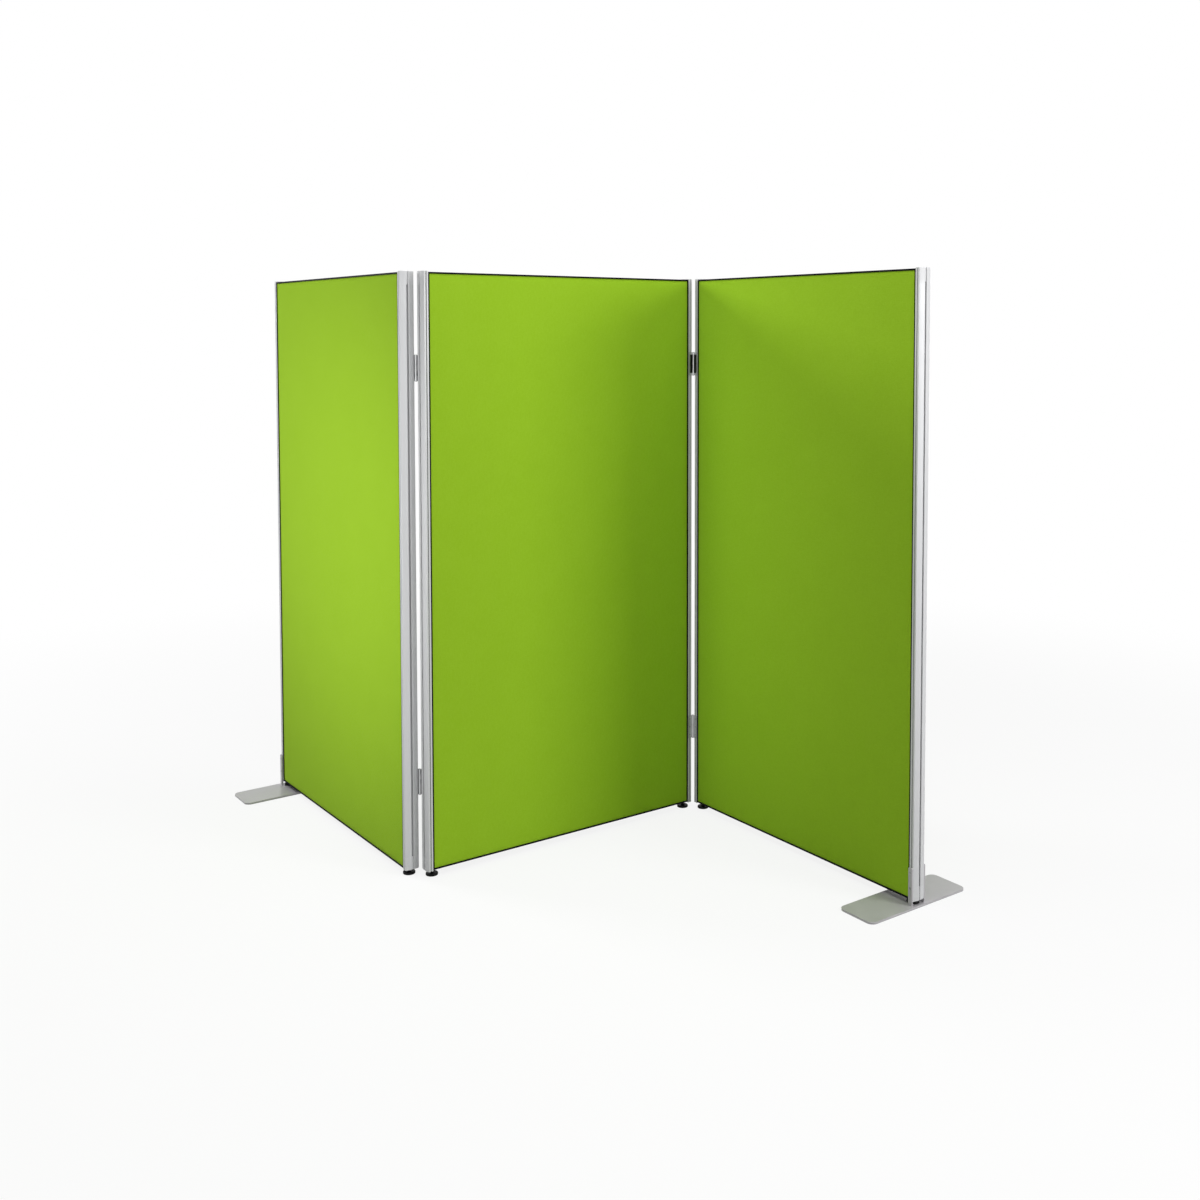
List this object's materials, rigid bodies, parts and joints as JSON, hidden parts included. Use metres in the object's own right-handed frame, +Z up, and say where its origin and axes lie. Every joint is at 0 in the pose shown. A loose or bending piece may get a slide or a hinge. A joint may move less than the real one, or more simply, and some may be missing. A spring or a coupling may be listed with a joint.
{
  "type": "folding partition screen",
  "caption": "Free-standing folding room divider: upright fabric panels in aluminium frames, hinged in a zigzag, with levelling feet and flat foot plates at the free ends.",
  "frame": {"origin": "on the floor, under the centre of the middle panel, which is the centre of the bounding box's base", "axes": "+X along the middle panel towards the right panel's hinge, +Y the way the left panel stands away from it, +Z up"},
  "size_m": [1.4408, 2.06, 1.8],
  "materials": {
    "green_cloth": "matte",
    "anodised_aluminium": "satin",
    "grey_cap": "satin",
    "honeycomb_board": "matte",
    "black_profile": "satin",
    "brass_insert": "satin",
    "black_nylon": "satin",
    "hinge_metal": "satin",
    "plated_steel": "satin",
    "grey_powder_coat": "satin"
  },
  "bodies": {
    "middle_panel": {"hinge_pins": "plated_steel", "left_joint_lower_leaf_middle": "hinge_metal", "left_joint_upper_leaf_middle": "hinge_metal", "middle_caps_bottom": "grey_cap", "middle_caps_top": "grey_cap", "middle_core": "honeycomb_board", "middle_edge_trims": "black_profile", "middle_fabric_back": "green_cloth", "middle_fabric_front": "green_cloth", "middle_hinge_covers": "black_nylon", "middle_hinge_screws": "plated_steel", "middle_left_upright": "anodised_aluminium", "middle_rail_bottom": "black_profile", "middle_rail_top": "black_profile", "middle_right_upright": "anodised_aluminium", "middle_threaded_inserts": "brass_insert", "right_joint_lower_leaf_middle": "hinge_metal", "right_joint_upper_leaf_middle": "hinge_metal"},
    "left_panel": {"left_caps_bottom": "grey_cap", "left_caps_top": "grey_cap", "left_core": "honeycomb_board", "left_edge_trims": "black_profile", "left_fabric_back": "green_cloth", "left_fabric_front": "green_cloth", "left_foot_lugs": "grey_powder_coat", "left_foot_plate": "grey_powder_coat", "left_foot_screws": "plated_steel", "left_free_upright": "anodised_aluminium", "left_hinge_covers": "black_nylon", "left_hinge_screws": "plated_steel", "left_hinged_upright": "anodised_aluminium", "left_joint_lower_leaf_left": "hinge_metal", "left_joint_upper_leaf_left": "hinge_metal", "left_rail_bottom": "black_profile", "left_rail_top": "black_profile", "left_threaded_inserts": "brass_insert"},
    "right_panel": {"right_caps_bottom": "grey_cap", "right_caps_top": "grey_cap", "right_core": "honeycomb_board", "right_edge_trims": "black_profile", "right_fabric_back": "green_cloth", "right_fabric_front": "green_cloth", "right_foot_lugs": "grey_powder_coat", "right_foot_plate": "grey_powder_coat", "right_foot_screws": "plated_steel", "right_free_upright": "anodised_aluminium", "right_hinge_covers": "black_nylon", "right_hinge_screws": "plated_steel", "right_hinged_upright": "anodised_aluminium", "right_joint_lower_leaf_right": "hinge_metal", "right_joint_upper_leaf_right": "hinge_metal", "right_rail_bottom": "black_profile", "right_rail_top": "black_profile", "right_threaded_inserts": "brass_insert"},
    "left_free_leveller": {"left_free_leveller": "black_nylon"},
    "left_hinged_leveller": {"left_hinged_leveller": "black_nylon"},
    "middle_left_leveller": {"middle_left_leveller": "black_nylon"},
    "middle_right_leveller": {"middle_right_leveller": "black_nylon"},
    "right_free_leveller": {"right_free_leveller": "black_nylon"},
    "right_hinged_leveller": {"right_hinged_leveller": "black_nylon"}
  },
  "joints": [
    {"name": "left_hinge", "type": "hinge", "parent": "middle_panel", "child": "left_panel", "pos_m": [-0.5005, 0.0249, 0], "axis": [0, 0, 1], "range_deg": [-78, 90]},
    {"name": "right_hinge", "type": "hinge", "parent": "middle_panel", "child": "right_panel", "pos_m": [0.5005, -0.0249, 0], "axis": [0, 0, 1], "range_deg": [-78, 90]},
    {"name": "left_free_levelling", "type": "slide", "parent": "left_panel", "child": "left_free_leveller", "axis": [0, 0, 1], "range_m": [0, 0.002]},
    {"name": "left_hinged_levelling", "type": "slide", "parent": "left_panel", "child": "left_hinged_leveller", "axis": [0, 0, 1], "range_m": [-0.01, 0.007]},
    {"name": "middle_left_levelling", "type": "slide", "parent": "middle_panel", "child": "middle_left_leveller", "axis": [0, 0, 1], "range_m": [-0.01, 0.007]},
    {"name": "middle_right_levelling", "type": "slide", "parent": "middle_panel", "child": "middle_right_leveller", "axis": [0, 0, 1], "range_m": [-0.01, 0.007]},
    {"name": "right_free_levelling", "type": "slide", "parent": "right_panel", "child": "right_free_leveller", "axis": [0, 0, 1], "range_m": [0, 0.002]},
    {"name": "right_hinged_levelling", "type": "slide", "parent": "right_panel", "child": "right_hinged_leveller", "axis": [0, 0, 1], "range_m": [-0.01, 0.007]}
  ]
}
